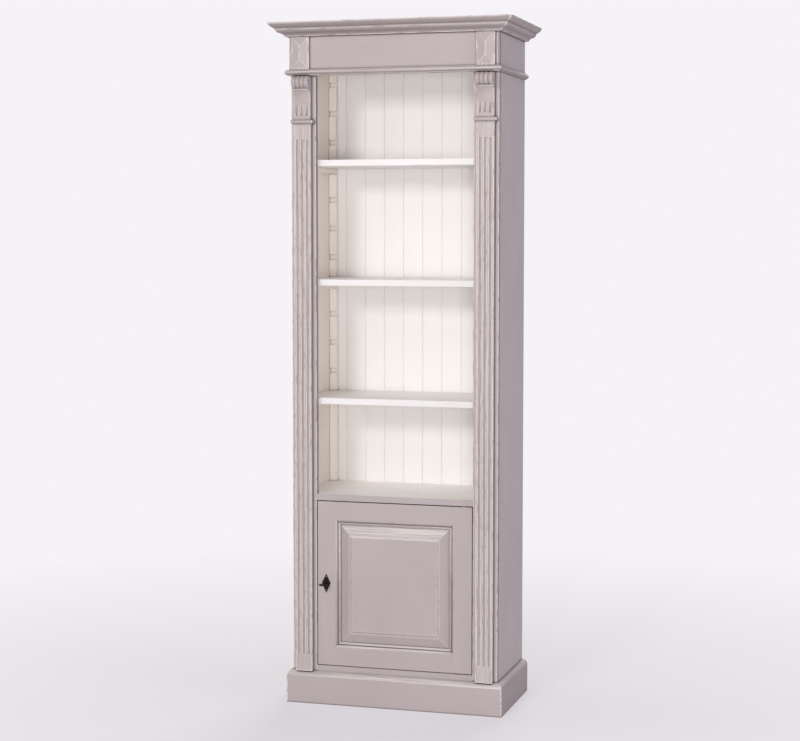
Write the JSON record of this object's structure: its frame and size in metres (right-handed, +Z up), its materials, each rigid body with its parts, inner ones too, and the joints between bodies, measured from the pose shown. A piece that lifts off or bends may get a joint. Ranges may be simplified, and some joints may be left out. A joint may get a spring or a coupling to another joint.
{
  "type": "narrow bookcase",
  "caption": "Tall narrow painted bookcase with fluted pilasters, cornice, adjustable shelves on notched racks and a panelled cupboard door below.",
  "frame": {"origin": "middle of the footprint of the whole bookcase, on the floor", "axes": "+X to the right of someone facing it, +Y into its depth, +Z up"},
  "size_m": [0.778, 0.42, 2.15],
  "materials": {
    "body_paint": "matt chalky greige paint, lightly rubbed at the edges",
    "interior_paint": "matt ivory paint",
    "shelf_paint": "satin off-white paint",
    "steel": "plain steel",
    "black_iron": "black waxed iron"
  },
  "bodies": {
    "carcass": {"astragal_front": "body_paint", "astragal_left": "body_paint", "astragal_right": "body_paint", "back_board_01": "interior_paint", "back_board_02": "interior_paint", "back_board_03": "interior_paint", "back_board_04": "interior_paint", "back_board_05": "interior_paint", "back_board_06": "interior_paint", "back_board_07": "interior_paint", "back_board_08": "interior_paint", "back_board_09": "interior_paint", "back_board_10": "interior_paint", "bottom_board": "interior_paint", "capital_left": "body_paint", "capital_right": "body_paint", "corner_block_left": "body_paint", "corner_block_right": "body_paint", "cornice_front": "body_paint", "cornice_left": "body_paint", "cornice_right": "body_paint", "door_stop": "interior_paint", "face_stile_left": "body_paint", "face_stile_right": "body_paint", "fixed_shelf": "interior_paint", "frieze_board": "body_paint", "hinge_plates_frame": "steel", "hinge_screws_frame": "steel", "pilaster_left": "body_paint", "pilaster_right": "body_paint", "plinth_front": "body_paint", "plinth_left": "body_paint", "plinth_right": "body_paint", "rack_front_left": "interior_paint", "rack_front_right": "interior_paint", "rack_rear_left": "interior_paint", "rack_rear_right": "interior_paint", "side_panel_left": "body_paint", "side_panel_right": "body_paint", "top_board": "interior_paint"},
    "door": {"door_stile_left": "body_paint", "door_stile_right": "body_paint", "door_rail_top": "body_paint", "door_rail_bottom": "body_paint", "door_panel": "body_paint", "hinge_plates_door": "steel", "lock_case": "steel", "door_screws": "steel", "escutcheon": "black_iron"},
    "bolt": {"lock_bolt": "steel"},
    "key": {"key": "black_iron"},
    "lower_shelf": {"shelf_lower": "shelf_paint"},
    "lower_cleat_left": {"cleat_lower_left": "interior_paint"},
    "lower_cleat_right": {"cleat_lower_right": "interior_paint"},
    "middle_shelf": {"shelf_middle": "shelf_paint"},
    "middle_cleat_left": {"cleat_middle_left": "interior_paint"},
    "middle_cleat_right": {"cleat_middle_right": "interior_paint"},
    "upper_shelf": {"shelf_upper": "shelf_paint"},
    "upper_cleat_left": {"cleat_upper_left": "interior_paint"},
    "upper_cleat_right": {"cleat_upper_right": "interior_paint"}
  },
  "joints": [
    {"name": "door_swing", "type": "hinge", "parent": "carcass", "child": "door", "pos_m": [0.2245, -0.127, 0.3875], "axis": [0, 0, 1], "range_deg": [0, 120]},
    {"name": "key_turn", "type": "hinge", "parent": "door", "child": "key", "pos_m": [-0.2245, -0.127, 0.3875], "axis": [0, 1, 0], "range_deg": [0, 180]},
    {"name": "bolt_slide", "type": "slide", "parent": "door", "child": "bolt", "axis": [-1, 0, 0], "range_m": [0, 0.009]},
    {"name": "lower_shelf_lift", "type": "slide", "parent": "carcass", "child": "lower_shelf", "axis": [0, 0, 1], "range_m": [0, 0.33]},
    {"name": "lower_cleat_left_slide", "type": "slide", "parent": "carcass", "child": "lower_cleat_left", "axis": [1, 0, 0], "range_m": [0, 0.03]},
    {"name": "lower_cleat_right_slide", "type": "slide", "parent": "carcass", "child": "lower_cleat_right", "axis": [-1, 0, 0], "range_m": [0, 0.03]},
    {"name": "middle_shelf_lift", "type": "slide", "parent": "carcass", "child": "middle_shelf", "axis": [0, 0, 1], "range_m": [0, 0.33]},
    {"name": "middle_cleat_left_slide", "type": "slide", "parent": "carcass", "child": "middle_cleat_left", "axis": [1, 0, 0], "range_m": [0, 0.03]},
    {"name": "middle_cleat_right_slide", "type": "slide", "parent": "carcass", "child": "middle_cleat_right", "axis": [-1, 0, 0], "range_m": [0, 0.03]},
    {"name": "upper_shelf_lift", "type": "slide", "parent": "carcass", "child": "upper_shelf", "axis": [0, 0, 1], "range_m": [0, 0.33]},
    {"name": "upper_cleat_left_slide", "type": "slide", "parent": "carcass", "child": "upper_cleat_left", "axis": [1, 0, 0], "range_m": [0, 0.03]},
    {"name": "upper_cleat_right_slide", "type": "slide", "parent": "carcass", "child": "upper_cleat_right", "axis": [-1, 0, 0], "range_m": [0, 0.03]}
  ],
  "couplings": [
    {"joint": "key_turn", "follows": "bolt_slide", "rad_per_m": 349}
  ]
}
